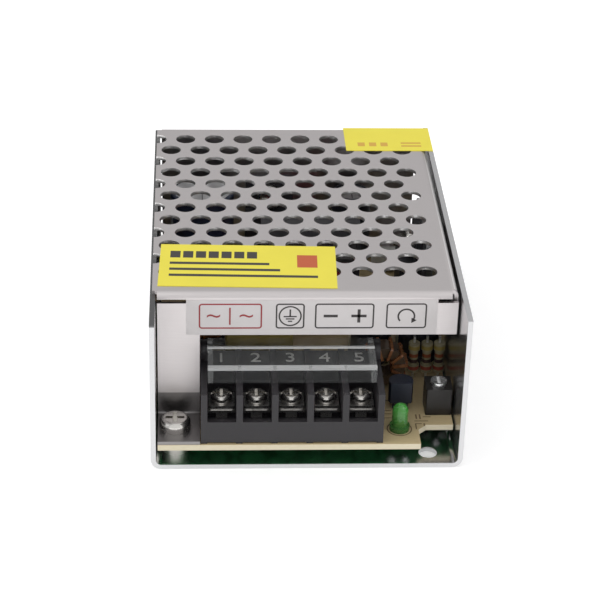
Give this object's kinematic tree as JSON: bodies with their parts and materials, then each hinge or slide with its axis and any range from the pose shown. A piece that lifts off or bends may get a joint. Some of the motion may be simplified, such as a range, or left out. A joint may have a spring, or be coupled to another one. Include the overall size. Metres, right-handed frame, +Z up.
{
  "type": "mesh case switching power supply",
  "caption": "Enclosed power supply with a bent aluminium base, a perforated bent cover, a screw terminal block under a clear hinged lid, an indicator lamp and a voltage trimmer.",
  "frame": {"origin": "centre of the underside of the base channel's bounding box", "axes": "+Z up, +X across the case to the right as seen from the terminals, +Y from the terminals towards the rear"},
  "size_m": [0.058, 0.0816, 0.0317],
  "materials": {
    "aluminium_sheet": "satin rolled sheet",
    "tinned_steel": "satin tinned sheet with bright hole rims",
    "plated_brass": "plated, turned",
    "nickel_screw": "nickel plated",
    "board_laminate": "tan paper laminate, green underneath",
    "black_moulding": "moulded, fine grain",
    "brown_moulding": "moulded",
    "yellow_moulding": "moulded",
    "white_moulding": "moulded",
    "tinned_brass": "tinned",
    "clear_plastic": "clear moulded plastic",
    "green_lens": "translucent green",
    "green_coating": "dipped coating",
    "blue_coating": "dipped coating",
    "ferrite": "sintered, dull",
    "copper_wire": "enamelled wire",
    "can_sleeve": "shrunk sleeve with a bare aluminium top",
    "heatsink_aluminium": "sheared plate",
    "winding_tape": "polyester tape",
    "resistor_coating": "painted, colour bands",
    "white_sticker": "paper label",
    "yellow_sticker": "vinyl label"
  },
  "bodies": {
    "case": {"chassis": "aluminium_sheet", "standoffs": "plated_brass", "cover": "tinned_steel", "cover_screws": "nickel_screw", "circuit_board": "board_laminate", "terminal_block": "black_moulding", "terminal_contacts": "tinned_brass", "indicator_led": "green_lens", "trimmer_body": "black_moulding", "fuse": "brown_moulding", "inrush_thermistor": "green_coating", "filter_capacitor": "yellow_moulding", "line_filter_core": "ferrite", "line_filter_windings": "copper_wire", "bridge_rectifier": "black_moulding", "bulk_capacitor": "can_sleeve", "switch_heatsink": "heatsink_aluminium", "power_switch": "black_moulding", "rectifier_heatsink": "heatsink_aluminium", "output_rectifier": "black_moulding", "heatsink_screws": "nickel_screw", "transformer_core": "ferrite", "transformer_bobbin": "black_moulding", "transformer_winding": "winding_tape", "safety_capacitor": "blue_coating", "optocoupler": "white_moulding", "controller_chip": "black_moulding", "output_capacitor_1": "can_sleeve", "output_capacitor_2": "can_sleeve", "output_capacitor_3": "can_sleeve", "choke_core": "ferrite", "choke_winding": "copper_wire", "standing_resistors": "resistor_coating", "small_transistor": "black_moulding", "front_sticker": "white_sticker", "top_sticker": "yellow_sticker", "seal_sticker": "yellow_sticker"},
    "lid": {"terminal_lid": "clear_plastic"},
    "adjuster": {"trimmer_rotor": "nickel_screw"},
    "clamp_1": {"clamp_washer_1": "tinned_brass"},
    "screw_1": {"terminal_screw_1": "nickel_screw"},
    "clamp_2": {"clamp_washer_2": "tinned_brass"},
    "screw_2": {"terminal_screw_2": "nickel_screw"},
    "clamp_3": {"clamp_washer_3": "tinned_brass"},
    "screw_3": {"terminal_screw_3": "nickel_screw"},
    "clamp_4": {"clamp_washer_4": "tinned_brass"},
    "screw_4": {"terminal_screw_4": "nickel_screw"},
    "clamp_5": {"clamp_washer_5": "tinned_brass"},
    "screw_5": {"terminal_screw_5": "nickel_screw"}
  },
  "joints": [
    {"name": "lid_hinge", "type": "hinge", "parent": "case", "child": "lid", "pos_m": [-0.0029, -0.02625, 0.0173], "axis": [-1, 0, 0], "range_deg": [0, 35]},
    {"name": "adjuster_turn", "type": "hinge", "parent": "case", "child": "adjuster", "pos_m": [0.0252, -0.02835, 0.0108], "axis": [0, 0, 1], "range_deg": [-130, 130]},
    {"name": "clamp_1_lift", "type": "slide", "parent": "case", "child": "clamp_1", "axis": [0, 0, 1], "range_m": [0, 0.002]},
    {"name": "screw_1_turn", "type": "hinge", "parent": "clamp_1", "child": "screw_1", "pos_m": [-0.0159, -0.03265, 0.0098], "axis": [0, 0, 1], "range_deg": [0, 1440]},
    {"name": "clamp_2_lift", "type": "slide", "parent": "case", "child": "clamp_2", "axis": [0, 0, 1], "range_m": [0, 0.002]},
    {"name": "screw_2_turn", "type": "hinge", "parent": "clamp_2", "child": "screw_2", "pos_m": [-0.0094, -0.03265, 0.0098], "axis": [0, 0, 1], "range_deg": [0, 1440]},
    {"name": "clamp_3_lift", "type": "slide", "parent": "case", "child": "clamp_3", "axis": [0, 0, 1], "range_m": [0, 0.002]},
    {"name": "screw_3_turn", "type": "hinge", "parent": "clamp_3", "child": "screw_3", "pos_m": [-0.0029, -0.03265, 0.0098], "axis": [0, 0, 1], "range_deg": [0, 1440]},
    {"name": "clamp_4_lift", "type": "slide", "parent": "case", "child": "clamp_4", "axis": [0, 0, 1], "range_m": [0, 0.002]},
    {"name": "screw_4_turn", "type": "hinge", "parent": "clamp_4", "child": "screw_4", "pos_m": [0.0036, -0.03265, 0.0098], "axis": [0, 0, 1], "range_deg": [0, 1440]},
    {"name": "clamp_5_lift", "type": "slide", "parent": "case", "child": "clamp_5", "axis": [0, 0, 1], "range_m": [0, 0.002]},
    {"name": "screw_5_turn", "type": "hinge", "parent": "clamp_5", "child": "screw_5", "pos_m": [0.0101, -0.03265, 0.0098], "axis": [0, 0, 1], "range_deg": [0, 1440]}
  ],
  "couplings": [
    {"joint": "screw_1_turn", "follows": "clamp_1_lift", "rad_per_m": 12566},
    {"joint": "screw_2_turn", "follows": "clamp_2_lift", "rad_per_m": 12566},
    {"joint": "screw_3_turn", "follows": "clamp_3_lift", "rad_per_m": 12566},
    {"joint": "screw_4_turn", "follows": "clamp_4_lift", "rad_per_m": 12566},
    {"joint": "screw_5_turn", "follows": "clamp_5_lift", "rad_per_m": 12566}
  ]
}
